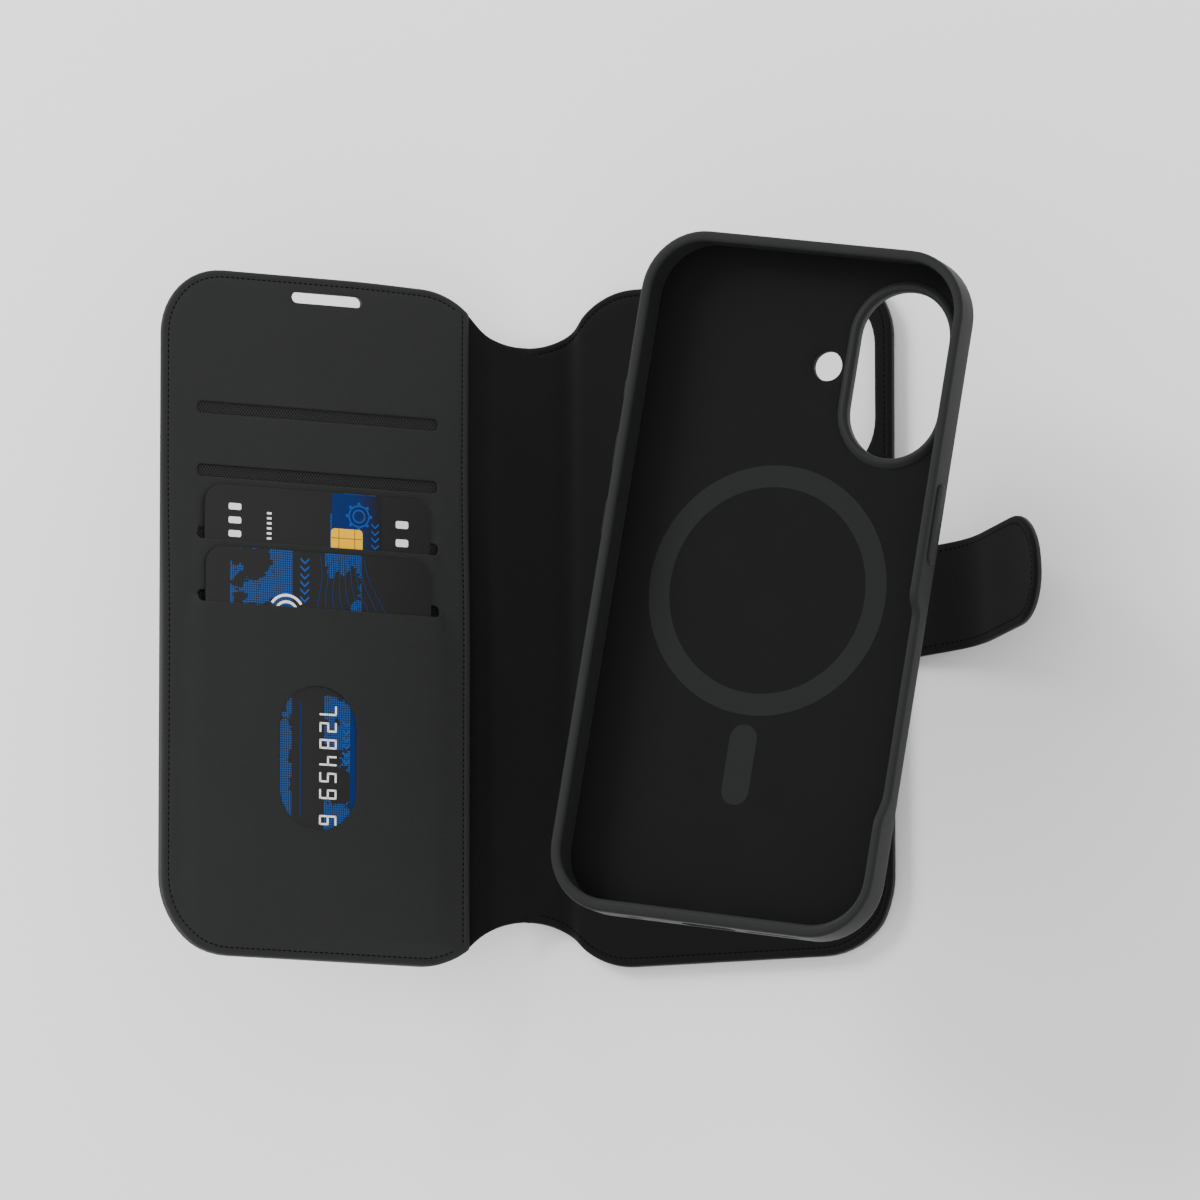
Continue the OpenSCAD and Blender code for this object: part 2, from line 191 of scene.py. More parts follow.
def leather_height(nt, uv, scale):
    """Pebbles, whose borders wander with a finer noise."""
    fine = noise(nt, uv, 3.5 * scale, 5)
    wander = nt.nodes.new("ShaderNodeVectorMath")
    wander.operation = "MULTIPLY_ADD"
    wander.inputs[1].default_value = (0.35, 0.35, 0.35)
    nt.links.new(fine["Color"], wander.inputs[0])
    nt.links.new(uv, wander.inputs[2])
    pebbles = nt.nodes.new("ShaderNodeTexVoronoi")
    pebbles.feature = "DISTANCE_TO_EDGE"
    pebbles.inputs["Scale"].default_value = 1.6 * scale
    nt.links.new(wander.outputs["Vector"], pebbles.inputs["Vector"])
    return math_node(nt, "MULTIPLY_ADD", pebbles.outputs["Distance"], 0.8, fine["Fac"])


def weave_height(nt, uv, scale):
    """Two sets of slanted threads."""
    threads = []
    for turn in (0.6, -0.6):
        mapping = nt.nodes.new("ShaderNodeMapping")
        mapping.inputs["Rotation"].default_value = (0, 0, turn)
        wave = nt.nodes.new("ShaderNodeTexWave")
        wave.inputs["Scale"].default_value = 0.55 * scale
        nt.links.new(uv, mapping.inputs["Vector"])
        nt.links.new(mapping.outputs["Vector"], wave.inputs["Vector"])
        threads.append(wave.outputs["Fac"])
    return math_node(nt, "MAXIMUM", *threads)


def fine_height(nt, uv, scale):
    return noise(nt, uv, 6 * scale, 6)["Fac"]


HEIGHTS = {"leather": leather_height, "weave": weave_height, "fine": fine_height}


def mat(name, color, rough, grain=0.0, scale=1.0, vary=0.0, sheen=0.0, spec=0.5, kind="fine"):
    """A finish: vary is how far its colour drifts, and grain is the strength of its relief."""
    m = bpy.data.materials.new(name)
    m.use_nodes = True
    nt = m.node_tree
    p = nt.nodes["Principled BSDF"]
    p.inputs["Base Color"].default_value = (*color, 1)
    p.inputs["Roughness"].default_value = rough
    p.inputs["Specular IOR Level"].default_value = spec
    p.inputs["Sheen Weight"].default_value = sheen
    p.inputs["Sheen Roughness"].default_value = 0.5
    uv = flat_uv(nt)
    if vary:
        drift = mix_colors(nt, noise(nt, uv, 0.07, 4)["Fac"], times(color, 1 - vary), times(color, 1 + vary))
        nt.links.new(drift, p.inputs["Base Color"])
    if grain:
        height = HEIGHTS[kind](nt, uv, scale)
        bump = nt.nodes.new("ShaderNodeBump")
        bump.inputs["Strength"].default_value = grain
        bump.inputs["Distance"].default_value = 0.0002
        nt.links.new(height, bump.inputs["Height"])
        nt.links.new(bump.outputs["Normal"], p.inputs["Normal"])
        # For the weave the colour follows the thread height: painted shade in the hollows between threads,
        # painted highlight on the crossings.
        if kind == "weave":
            painted_weave_shading = mix_colors(nt, height, times(color, 0.06), times(color, 2.4))
            nt.links.new(painted_weave_shading, p.inputs["Base Color"])
    return m


LEATHER = mat("cover_leather", (0.0184, 0.0197, 0.0190), 0.55,
              grain=0.6, vary=0.08, sheen=0.02, spec=0.13, kind="leather")
OUTSIDE = mat("outer_leather", (0.0130, 0.0138, 0.0135), 0.5,
              grain=0.5, vary=0.08, spec=0.16, kind="leather")
SUEDE = mat("suede_lining", (0.0055, 0.0056, 0.0056), 0.95, grain=0.4, vary=0.15, sheen=0.06, spec=0.1)
MESH = mat("pocket_weave", (0.0138, 0.0138, 0.0138), 0.8, grain=0.9, spec=0.08, kind="weave")
THREAD = mat("thread", (0.0015, 0.0015, 0.0015), 0.9, spec=0.02)
SHELL = mat("soft_touch_shell", (0.0200, 0.0209, 0.0206), 0.46, grain=0.15, scale=1.4, vary=0.04, spec=0.045)
FLOOR_CLOTH = mat("microfibre", (0.0058, 0.0059, 0.0059), 0.95,
                  grain=0.35, scale=1.6, vary=0.1, sheen=0.05, spec=0.1)
PRINT = mat("print_grey", (0.0115, 0.0122, 0.0120), 0.8, grain=0.1, vary=0.04, spec=0.12)
GOLD = mat("chip_gold", (1.0, 0.52, 0.0), 0.4, spec=0.1)
GOLD_LINE = mat("chip_groove", (0.2, 0.11, 0.02), 0.5)
WHITE = mat("card_white", (0.95, 0.95, 0.95), 0.5)
BLUE = mat("card_blue", (0.000, 0.065, 0.32), 0.4, spec=0.2)
WAVE = mat("card_wave_blue", (0.000, 0.030, 0.14), 0.4, spec=0.15)
DEEP = mat("card_deep_blue", (0.001, 0.018, 0.110), 0.4, spec=0.15)


def card_material(zones):
    """Card black, with patches of blue dots inside the zones of (middle u, half width)."""
    m = mat("card_print", (0.010, 0.012, 0.015), 0.38, spec=0.2)
    nt = m.node_tree
    uv = flat_uv(nt)
    patches = math_node(nt, "GREATER_THAN", noise(nt, uv, 0.075, 5, 0.62)["Fac"], 0.50)
    grid = nt.nodes.new("ShaderNodeTexVoronoi")
    grid.inputs["Scale"].default_value = 1.9
    grid.inputs["Randomness"].default_value = 0.0
    nt.links.new(uv, grid.inputs["Vector"])
    dots = math_node(nt, "LESS_THAN", grid.outputs["Distance"], 0.40)
    for k, (middle, half_width) in enumerate(zones):
        column = math_node(nt, "COMPARE", along_x(nt), middle, half_width)
        where = math_node(nt, "MAXIMUM", where, column) if k else column
    blue = math_node(nt, "MULTIPLY", math_node(nt, "MULTIPLY", patches, where), dots)
    color = mix_colors(nt, blue, (0.0125, 0.0125, 0.0128), (0.000, 0.070, 0.30))
    nt.links.new(color, nt.nodes["Principled BSDF"].inputs["Base Color"])
    return m


def fade(m, start, end, dark):
    """Lets a material's colour go over to a dark one between two places along u."""
    nt = m.node_tree
    ramp = nt.nodes.new("ShaderNodeMapRange")
    ramp.interpolation_type = "SMOOTHSTEP"
    ramp.inputs["From Min"].default_value = start
    ramp.inputs["From Max"].default_value = end
    nt.links.new(along_x(nt), ramp.inputs["Value"])
    base = nt.nodes["Principled BSDF"].inputs["Base Color"]
    nt.links.new(mix_colors(nt, ramp.outputs["Result"], tuple(base.default_value)[:3], dark), base)


fade(DEEP, 45.5, 53.4, (0.0115, 0.0118, 0.0128))
CARD_MATERIAL = {"upper_card": card_material(((46.9, 6.2),)),
                 "lower_card": card_material(((24, 7.5), (43.6, 4.4)))}


# ---- Outlines ----

def smooth(t):
    t = np.clip(t, 0, 1)
    return t * t * (3 - 2 * t)


def dense(poly, step):
    out = []
    for a, b in zip(poly, np.roll(poly, -1, axis=0)):
        k = max(1, int(math.ceil(np.linalg.norm(b - a) / step)))
        out += [a + (b - a) * i / k for i in range(k)]
    return np.array(out)


def distance(p, poly):
    a, b = poly, np.roll(poly, -1, axis=0)
    d = b - a
    best = np.full(len(p), 1e9)
    for k in range(len(a)):
        t = np.clip(((p - a[k]) @ d[k]) / max(d[k] @ d[k], 1e-12), 0, 1)
        best = np.minimum(best, np.hypot(*(p - a[k] - t[:, None] * d[k]).T))
    return best


def inside(p, poly):
    x, y = p[:, 0], p[:, 1]
    a, b = poly, np.roll(poly, -1, axis=0)
    c = np.zeros(len(p), bool)
    for (x0, y0), (x1, y1) in zip(a, b):
        if y0 != y1:
            c ^= ((y0 > y) != (y1 > y)) & (x < (x1 - x0) * (y - y0) / (y1 - y0) + x0)
    return c


def signed_area(poly):
    b = np.roll(poly, -1, axis=0)
    return np.sum(poly[:, 0] * b[:, 1] - b[:, 0] * poly[:, 1]) / 2


def inward(poly):
    t = np.roll(poly, -1, axis=0) - np.roll(poly, 1, axis=0)
    t /= np.maximum(np.linalg.norm(t, axis=1), 1e-9)[:, None]
    return np.stack([-t[:, 1], t[:, 0]], 1) * (1 if signed_area(poly) > 0 else -1)


def offset(poly, d):
    """Points at d from an outline, inside it or with a negative d outside it."""
    q = poly + inward(poly) * d
    return q[distance(q, poly) > 0.93 * abs(d)]


def inset(poly, d):
    q = offset(poly, d)
    return q[inside(q, poly)]


def stadium(cx, cy, w, h, n=10):
    r = min(w, h) / 2
    if h >= w:
        ends = [(0, h / 2 - r, 0), (0, -(h / 2 - r), 180)]
    else:
        ends = [(w / 2 - r, 0, -90), (-(w / 2 - r), 0, 90)]
    out = []
    for ex, ey, a0 in ends:
        for k in range(n + 1):
            a = math.radians(a0 + 180 * k / n)
            out.append((cx + ex + r * math.cos(a), cy + ey + r * math.sin(a)))
    return np.array(out)


def rounded(cx, cy, w, h, r, n=8):
    out = []
    for sx, sy, a0 in ((1, 1, 0), (-1, 1, 90), (-1, -1, 180), (1, -1, 270)):
        for k in range(n + 1):
            a = math.radians(a0 + 90 * k / n)
            out.append((cx + sx * (w / 2 - r) + r * math.cos(a), cy + sy * (h / 2 - r) + r * math.sin(a)))
    return np.array(out)


def circle(cx, cy, r, n):
    return np.array([(cx + r * math.cos(t), cy + r * math.sin(t))
                     for t in np.linspace(0, 2 * math.pi, n + 1)[:-1]])


def rounding(d, r):
    """How far an edge rounded to r lies under its face, at a distance d from the edge."""
    q = np.clip(1 - d / r, 0, 1)
    return r * (1 - np.sqrt(np.clip(1 - q * q, 0, 1)))


# ---- Meshes ----

def make(name, verts, faces, mats, index=None, uv=None, sharp=40):
    me = bpy.data.meshes.new(name)
    me.from_pydata([tuple(v) for v in np.asarray(verts) * MM], [], [tuple(int(i) for i in f) for f in faces])
    for m in mats:
        me.materials.append(m)
    if index is not None:
        me.polygons.foreach_set("material_index", np.asarray(index, np.int32))
    layer = me.uv_layers.new(name="flat")
    loops = np.zeros(len(me.loops), np.int32)
    me.loops.foreach_get("vertex_index", loops)
    flat = np.asarray(uv if uv is not None else np.asarray(verts)[:, :2], float)
    layer.data.foreach_set("uv", flat[loops].astype(np.float32).ravel())
    me.polygons.foreach_set("use_smooth", np.ones(len(me.polygons), bool))
    me.set_sharp_from_angle(angle=math.radians(sharp))
    me.validate()
    o = bpy.data.objects.new(name, me)
    bpy.context.scene.collection.objects.link(o)
    return o


def face_outwards(o):
    bm = bmesh.new()
    bm.from_mesh(o.data)
    bmesh.ops.recalc_face_normals(bm, faces=bm.faces)
    bm.to_mesh(o.data)
    bm.free()
    return o


def prism_faces(n):
    """The faces of a prism whose first n points are one end and whose next n the other."""
    ends = [tuple(range(n, 2 * n)), tuple(range(n - 1, -1, -1))]
    return ends + [(i, (i + 1) % n, n + (i + 1) % n, n + i) for i in range(n)]


def triangulate(outline, holes, step, bands):
    """Points and triangles of a flat shape, with rows of points at the bands' distances from its edges."""
    outline = dense(np.array(outline, float), step)
    holes = [dense(np.array(h, float), min(step, 0.8)) for h in holes]
    pts, edges, n = [], [], 0
    for loop in [outline] + holes:
        edges += [(n + i, n + (i + 1) % len(loop)) for i in range(len(loop))]
        pts.append(loop)
        n += len(loop)
    for d in bands:
        pts.append(inset(outline, d))
        for h in holes:
            q = offset(h, -d)
            pts.append(q[inside(q, outline)])
    lo, hi = outline.min(0), outline.max(0)
    gx, gy = np.meshgrid(np.arange(lo[0], hi[0], step), np.arange(lo[1], hi[1], step))
    gx = gx + (np.arange(gx.shape[0]) % 2)[:, None] * step / 2
    g = np.stack([gx.ravel(), gy.ravel()], 1)
    clear = max(bands) + step * 0.4
    g = g[inside(g, outline)]
    g = g[distance(g, outline) > clear]
    for h in holes:
        g = g[~inside(g, h)]
        g = g[distance(g, h) > clear]
    pts.append(g)
    v, _, f, *_ = delaunay_2d_cdt([Vector(q) for q in np.concatenate(pts)], edges, [], 0, 1e-5)
    p = np.array([tuple(q) for q in v])
    f = np.array([t for t in f if len(t) == 3])
    mid = p[f].mean(1)
    keep = inside(mid, outline)
    for h in holes:
        keep &= ~inside(mid, h)
    f = f[keep]
    a, b, c = p[f[:, 0]], p[f[:, 1]], p[f[:, 2]]
    cross = (b - a)[:, 0] * (c - a)[:, 1] - (b - a)[:, 1] * (c - a)[:, 0]
    f = f[abs(cross) > 1e-7]
    flip = cross[abs(cross) > 1e-7] < 0
    f[flip] = f[flip][:, ::-1]
    return p, f, outline, holes


def slab(name, outline, holes, step, top, bottom, place, mats, bands):
    """A closed sheet. top and bottom give its faces' heights from x, y and the distances to its
    outline and to its holes, and place puts it where it belongs. mats are the top's and the rest's."""
    p, f, outline, holes = triangulate(outline, holes, step, bands)
    d = distance(p, outline)
    dh = np.full(len(p), 1e3)
    for h in holes:
        dh = np.minimum(dh, distance(p, h))
    x, y = p[:, 0], p[:, 1]
    vt = place(x, y, top(x, y, d, dh))
    vb = place(x, y, bottom(x, y, d, dh))
    sides = {}
    for t in f:
        for i in range(3):
            sides[int(t[i]), int(t[(i + 1) % 3])] = True
    rim = [e for e in sides if (e[1], e[0]) not in sides]
    n = len(p)
    faces = [tuple(t) for t in f] + [(t[2] + n, t[1] + n, t[0] + n) for t in f]
    faces += [(a, a + n, b + n, b) for a, b in rim]
    rest = min(1, len(mats) - 1)
    index = [0] * len(f) + [rest] * (len(f) + len(rim))
    return make(name, np.concatenate([vt, vb]), faces, mats, index, np.concatenate([p, p]))


def level(z):
    return lambda x, y, d, dh: z + 0 * x


# ---- The cover as a bent sheet: s across from the spine's middle, y up, w in from the outer face ----

def fold_angle(s):
    a = A_SPINE * (1 - smooth((s - (HALF - BEND)) / (2 * BEND)))
    return a + (A_FRONT - A_SPINE) * (1 - smooth((s + HALF + BEND) / (2 * BEND)))


STEP = 0.05
GRID = np.arange(EDGE + 1, -EDGE - 1, -STEP)
ANGLE = fold_angle(GRID)
MID_ANGLE = (ANGLE[1:] + ANGLE[:-1]) / 2
COVER_X = BACK_FOLD[0] + (GRID[0] - HALF) + np.concatenate([[0], np.cumsum(-STEP * np.cos(MID_ANGLE))])
COVER_Z = np.concatenate([[0], np.cumsum(STEP * np.sin(MID_ANGLE))])


def on_cover(s, y, w):
    s = np.asarray(s, float)
    y = np.asarray(y, float) + 0 * s
    a = fold_angle(s)
    low = 0.5 - y / LEAF_H
    front_in = (FRONT_IN + FRONT_IN_LOW * low) * smooth((-s - EDGE + FRONT_IN_OVER) / FRONT_IN_OVER)
    back_in = (BACK_IN + BACK_IN_LOW * low) * smooth((s - EDGE + BACK_IN_OVER) / BACK_IN_OVER)
    t = s + front_in - back_in
    x = np.interp(t, GRID[::-1], COVER_X[::-1]) + np.sin(a) * w
    z = np.interp(t, GRID[::-1], COVER_Z[::-1]) + np.cos(a) * w
    raised = FRONT_UP * smooth((y - 45) / 30) * smooth((-s - HALF - 5) / 30)
    return np.stack([x, y + raised, z], -1)


def on_front(u, v, w):
    return on_cover(-(EDGE - np.asarray(u, float)), TOP - np.asarray(v, float), w)


def fold_ends(s_from, s_to):
    """Where a fold's bend starts and ends, in metres."""
    return on_cover(np.array([s_from, s_to]), [0, 0], np.zeros(2)) * MM


BACK_BEND = fold_ends(HALF + BEND, HALF - BEND)
FRONT_BEND = fold_ends(-HALF + BEND, -HALF - BEND)


def drop(s, depth):
    """How far the wave notch brings the end edge in, at a distance s from the spine's middle."""
    s = np.abs(s)
    r = (NOTCH_HALF**2 + depth**2) / (4 * depth)
    outer = r - np.sqrt(np.clip(r**2 - (NOTCH_HALF - s) ** 2, 0, None))
    inner = depth - r + np.sqrt(np.clip(r**2 - s**2, 0, None))
    return np.where(s >= NOTCH_HALF, 0, np.where(s > NOTCH_HALF / 2, outer, inner))


def half_cover():
    """The outline from the spine's middle at the top, round the back leaf, to the bottom."""
    s = np.concatenate([np.linspace(0, NOTCH_HALF, 40), [NOTCH_HALF + 12, NOTCH_HALF + 25]])
    ends = []
    for depth, r in zip(NOTCH_DEPTH, CORNER_R):
        end = [(a, TOP - b) for a, b in zip(s, drop(s, depth))]
        for k in range(13):
            a = math.radians(90 - 7.5 * k)
            end.append((EDGE - r + r * math.cos(a), TOP - r + r * math.sin(a)))
        ends.append(end)
    return np.array(ends[0] + [(x, -y) for x, y in ends[1][::-1]])


def cover_edge(half, x, y):
    """Distance to the edge of the whole cover, given the outline of its half."""
    whole = np.concatenate([half, half[::-1] * [-1, 1]])
    return distance(np.stack([x, y], 1), dense(whole, 2.0))


def inner_face(s, leaf, crease):
    """Height of the inner face: the leaf's, the spine's, and a crease along the fold between them."""
    s = np.abs(s)
    base = SPINE_T + (leaf - SPINE_T) * smooth((s - HALF) / 4)
    return base - (base - crease) * (1 - smooth(np.abs(s - HALF) / 3.5))


def speaker_slot(w, h):
    return stadium(-(EDGE - SPEAKER_U), TOP - SPEAKER_V, w, h)


def groove(d):
    return GROOVE * smooth(1 - np.abs(d - SEW_IN) / GROOVE_HALF)


def cover_back():
    half = half_cover()
    x0, y0, w, h, r = WINDOW
    window = rounded(HALF + (x0 - BACK_FOLD[0]), y0, w, h, r, 12)

    def top(x, y, d, dh):
        edge = cover_edge(half, x, y)
        t = inner_face(x, BACK_T, BACK_CREASE) - groove(edge)
        return t - np.maximum(rounding(edge, 0.9), rounding(dh, 0.9))

    def bottom(x, y, d, dh):
        return np.maximum(rounding(cover_edge(half, x, y), 0.7), rounding(dh, 0.7))

    o = slab("back_cover", half, [window], 1.6, top, bottom, on_cover, [SUEDE, OUTSIDE],
             (0.12, 0.35, 0.9) + SEW_BANDS)
    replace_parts(o, "back_skin", "back_board", "back_magnet_ring", "back_lining", "strap_tail")
    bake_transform(o)


def cover_front():
    out = half_cover() * [-1, 1]
    tuck = TUCK * smooth((-out[:, 0] - HALF - 3) / 8)
    out = np.stack([np.maximum(out[:, 0], -(EDGE - TUCK)), out[:, 1] * (1 - tuck / TOP)], 1)[::-1]

    def top(x, y, d, dh):
        return inner_face(x, FRONT_T, FRONT_CREASE) - rounding(cover_edge(out, x, y), 0.6)

    def bottom(x, y, d, dh):
        return np.maximum(rounding(cover_edge(out, x, y), 1.1), rounding(dh, 0.3))

    o = slab("front_cover", out, [speaker_slot(17.2, 2.9)], 1.6, top, bottom, on_cover,
             [SUEDE, OUTSIDE], (0.12, 0.35, 0.9))
    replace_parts(o, "front_skin", "front_board", "front_catch_plate",
                "spine_skin", "spine_board", "spine_lining")
    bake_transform(o)


# ---- Card panel ----

def panel_height(u, v):
    """Height of the panel's face: it steps up over each card, and its sewn margin thickens downwards."""
    level = np.where(v < SLIT_V[2], 2.15, np.where(v < SLIT_V[3], 3.17, 4.2))
    tail = smooth((v - 149.6) / 4.5)
    level = level * (1 - tail) + 3.3 * tail
    margin = 2.15 + 1.5 * smooth((v - 40) / 45)
    below = np.where(v < SLIT_V[2], 0, np.where(v < SLIT_V[3], v - SLIT_V[2], v - SLIT_V[3] + 4))
    reach = 28.9 + np.clip(below * 0.45, 0, 5.2)
    k = smooth((reach - np.abs(u - SLIT_U)) / (reach - 27.7))
    return level * k + margin * (1 - k)


def panel_at(x, y):
    return panel_height(EDGE + x, TOP - y)


def panel_outline():
    half = half_cover() * [-1, 1]
    x = -(EDGE - PANEL_W)
    y0, y1 = (TOP - float(drop(np.array([x]), t)[0]) for t in NOTCH_DEPTH)
    out = half[half[:, 0] < x - 0.01]
    upper, lower = out[out[:, 1] > 0], out[out[:, 1] < 0]
    return np.array([(x, y0)] + list(upper) + list(lower) + [(x, -y1)])[::-1]


def card_panel(out):
    holes = [rounded(-(EDGE - SLIT_U), TOP - v, SLIT_L, SLIT_H, 1.0, 4) for v in SLIT_V]
    holes.append(stadium(-(EDGE - THUMB[0]), TOP - THUMB[1], *THUMB[2:]))
    holes.append(speaker_slot(16.8, 2.5))

    def top(x, y, d, dh):
        return panel_at(x, y) - np.maximum(rounding(d, 0.7), rounding(dh, 0.25)) - groove(d)

    def bottom(x, y, d, dh):
        return np.where(d < 1.2, 1.2, panel_at(x, y) - PANEL_T)

    o = slab("card_pocket_panel", out, holes, 1.1, top, bottom, on_cover, [LEATHER],
             (0.1, 0.3, 0.7) + SEW_BANDS)
    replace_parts(o, "card_panel")
    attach(o, "front")


def pocket_cloth(name, node, u0, u1, y0, y1, holes, z0, z1):
    """A plain sheet on the front leaf, between two heights."""
    corners = [(-(EDGE - u0), y1), (-(EDGE - u1), y1), (-(EDGE - u1), y0), (-(EDGE - u0), y0)]
    o = slab(name, np.array(corners), holes, 6.0, level(z1), level(z0), on_cover, [MESH], (0.5,))
    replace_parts(o, node)
    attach(o, "front")
    return o


# ---- Stitches ----

def stitch_row(name, path, place, height, body):
    path = np.array(path, float)
    seg = np.linalg.norm(np.diff(path, axis=0), axis=1)
    cum = np.concatenate([[0], np.cumsum(seg)])
    verts, faces = [], []
    for i in range(int(cum[-1] / PITCH)):
        a, b = (i * PITCH + (PITCH - DASH) / 2), (i * PITCH + (PITCH + DASH) / 2)
        p = np.array([[np.interp(t, cum, path[:, k]) for k in (0, 1)] for t in (a, (a + b) / 2, b)])
        t = p[2] - p[0]
        t /= max(np.linalg.norm(t), 1e-9)
        across = np.array([-t[1], t[0]])
        base = len(verts)
        for q, narrow, lift in ((p[0], 0.35, 0.3), (p[1], 1, 1), (p[2], 0.35, 0.3)):
            h = height(q[0:1], q[1:2])[0]
            for side, up in ((-1, 0), (-0.6, 0.7), (0.6, 0.7), (1, 0)):
                xy = q + across * side * narrow * THREAD_W / 2
                verts.append(place(xy[0], xy[1], h - SUNK + LOOP * up * lift))
        for j in (0, 1):
            for k in range(3):
                c = base + 4 * j + k
                faces.append((c, c + 4, c + 5, c + 1))
    o = make(name, verts, faces, [THREAD], uv=np.zeros((len(verts), 2)), sharp=80)
    if isinstance(body, str):
        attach(o, body)
    else:
        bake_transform(o)


def round_order(row, x0, start):
    """A row of points put in order round (x0, 0)."""
    return row[np.argsort((np.arctan2(row[:, 1], row[:, 0] - x0) + start) % (2 * math.pi))]


def cover_stitches(out):
    row = inset(dense(out, 1.0), SEW_IN)
    row = round_order(row[row[:, 0] < -(EDGE - 71.5)], 72.5 - EDGE, 0)
    stitch_row("panel_stitches", row, on_cover, panel_at, "front")
    x = -(EDGE - (PANEL_W - SEW_IN))
    stitch_row("seam_stitches", [(x, 74.0), (x, -74.0)], on_cover, panel_at, "front")
    row = inset(dense(half_cover(), 1.0), SEW_IN)
    row = round_order(row[row[:, 0] > 2.2], 8, math.pi)
    stitch_row("back_stitches", row, on_cover, lambda x, y: inner_face(x, BACK_T, BACK_CREASE),
               ("back", "spine", *BACK_BEND))


# ---- Cards and their print ----

def flat_piece(name, poly, w, t, material, parent):
    poly = np.array(poly, float)
    verts = np.concatenate([on_front(poly[:, 0], poly[:, 1], w), on_front(poly[:, 0], poly[:, 1], w + t)])
    o = make(name, verts, prism_faces(len(poly)), [material], uv=np.concatenate([poly, poly]), sharp=30)
    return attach(face_outwards(o), parent)


SEGMENTS = {"2": "abged", "4": "fgbc", "5": "afgcd", "6": "afgecd", "7": "abc", "8": "abcdefg", "9": "abcdfg"}


def digit(ch, u, v, h, wd, th):
    """Bars of one figure lying on its side: it reads down the card, with its top towards +u."""
    a, b = h / 2, wd / 2
    bar = {"a": (a, 0, 0), "g": (0, 0, 0), "d": (-a, 0, 0), "f": (a / 2, -b, 1), "b": (a / 2, b, 1),
           "e": (-a / 2, -b, 1), "c": (-a / 2, b, 1)}
    out = []
    for s in SEGMENTS[ch]:
        du, dv, along = bar[s]
        hu, hv = (h / 4 + th / 2, th / 2) if along else (th / 2, wd / 2 + th / 2)
        out.append(rounded(u + du, v + dv, 2 * hu, 2 * hv, th * 0.3, 2))
    return out


def arc(u, v, r, a0, a1, th, n=14):
    t = np.radians(np.linspace(a0, a1, n))
    outer = [(u + (r + th / 2) * math.cos(a), v + (r + th / 2) * math.sin(a)) for a in t]
    return outer + [(u + (r - th / 2) * math.cos(a), v + (r - th / 2) * math.sin(a)) for a in t[::-1]]


def chevron(u, v, s, th):
    return [(u - s, v - s), (u, v), (u + s, v - s), (u + s, v - s + th), (u, v + th), (u - s, v - s + th)]


# Thicknesses of the print
FIELD, INK, CHIP, OVER = 0.006, 0.02, 0.025, 0.03


def upper_print(middle):
    chip_u, chip_v = 44.8, 60.4
    mark = [(rounded(47.3, middle, 12.2, 85.2, 0.3, 2), FIELD, DEEP),
            (rounded(chip_u, chip_v, 7.6, 7.0, 0.9, 4), CHIP, GOLD)]
    for k in (-1, 1):
        mark.append((rounded(chip_u + 1.9 * k, chip_v, 0.2, 6.8, 0.08, 2), OVER, GOLD_LINE))
        mark.append((rounded(chip_u, chip_v + 1.3 * k, 7.4, 0.2, 0.08, 2), OVER, GOLD_LINE))
    gear_u, gear_v = 47.7, 53.8
    for r in (1.4, 2.4):
        mark.append((arc(gear_u, gear_v, r, 0, 355, 0.35, 30), INK, BLUE))
    for k in range(8):
        a = math.radians(45 * k)
        tooth = (gear_u + 2.8 * math.cos(a), gear_v + 2.8 * math.sin(a))
        mark.append((rounded(*tooth, 0.7, 0.7, 0.15, 2), INK, BLUE))
    for k in range(5):
        mark.append((chevron(51.6, 56 + 1.6 * k, 0.9, 0.45), INK, BLUE))
    # Bars in place of words
    for k in range(3):
        mark.append((rounded(18, 53.6 + 3.1 * k, 3.0, 1.5, 0.4, 3), INK, WHITE))
    for k in range(6):
        mark.append((rounded(26.2, 54.6 + 1.15 * k, 1.1, 0.5, 0.12, 2), INK, WHITE))
    for k in range(2):
        mark.append((rounded(58.1, 55 + 4.2 * k, 3.0, 1.7, 0.4, 3), INK, WHITE))
    return mark


def lower_print():
    mark = [(arc(30.1, 77.3, r, 212, 328, 0.6), INK, WHITE) for r in (1.1, 2.6, 4.1)]
    for k in range(6):
        mark.append((chevron(34.4, 65.4 + 1.75 * k, 1.05, 0.5), INK, BLUE))
    for k in range(9):
        line = [(38.0 + 1.3 * k + 0.5 * math.sin(0.4 * t + 0.35 * k) + 0.05 * k * t, 63.8 + 1.0 * t)
                for t in range(13)]
        mark.append((line + [(a + 0.15, b) for a, b in line[::-1]], INK, WAVE))
    mark.append((rounded(50, 113, 9, 66, 0.3, 2), FIELD, DEEP))
    for k, ch in enumerate("7284596"):
        for poly in digit(ch, 40.2, 98.9 + 3.8 * k + (2.1 if k == 6 else 0), 3.7, 1.8, 0.42):
            mark.append((poly, OVER, WHITE))
    for k in range(6):
        mark.append((chevron(44.6, 102 + 1.7 * k, 0.8, 0.45), INK, BLUE))
    mark.append((rounded(33.6, 110, 0.3, 26, 0.05, 2), INK, DEEP))
    return mark


def cards():
    for body, top in CARD_TOP.items():
        w = CARD_LIES[body]
        middle = top + CARD_L / 2
        o = flat_piece(body + "_visual", rounded(CARD_U, middle, CARD_W, CARD_L, CARD_R, 10), w, CARD_T,
                       CARD_MATERIAL[body], body)
        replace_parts(o, body)
        mark = upper_print(middle) if body == "upper_card" else lower_print()
        for i, (poly, t, m) in enumerate(mark):
            flat_piece(f"{body}_print_{i}", poly, w + CARD_T, t, m, body)


# ---- Strap: s along from the root's fold, y across, w from the inner face (negative is outside) ----

def strap_angle(s):
    rise = RISE * smooth((s + ROOT_BEND) / (2 * ROOT_BEND))
    return rise + CURL * smooth((s - (ROOT_L - CURL_BEND)) / (2 * CURL_BEND))


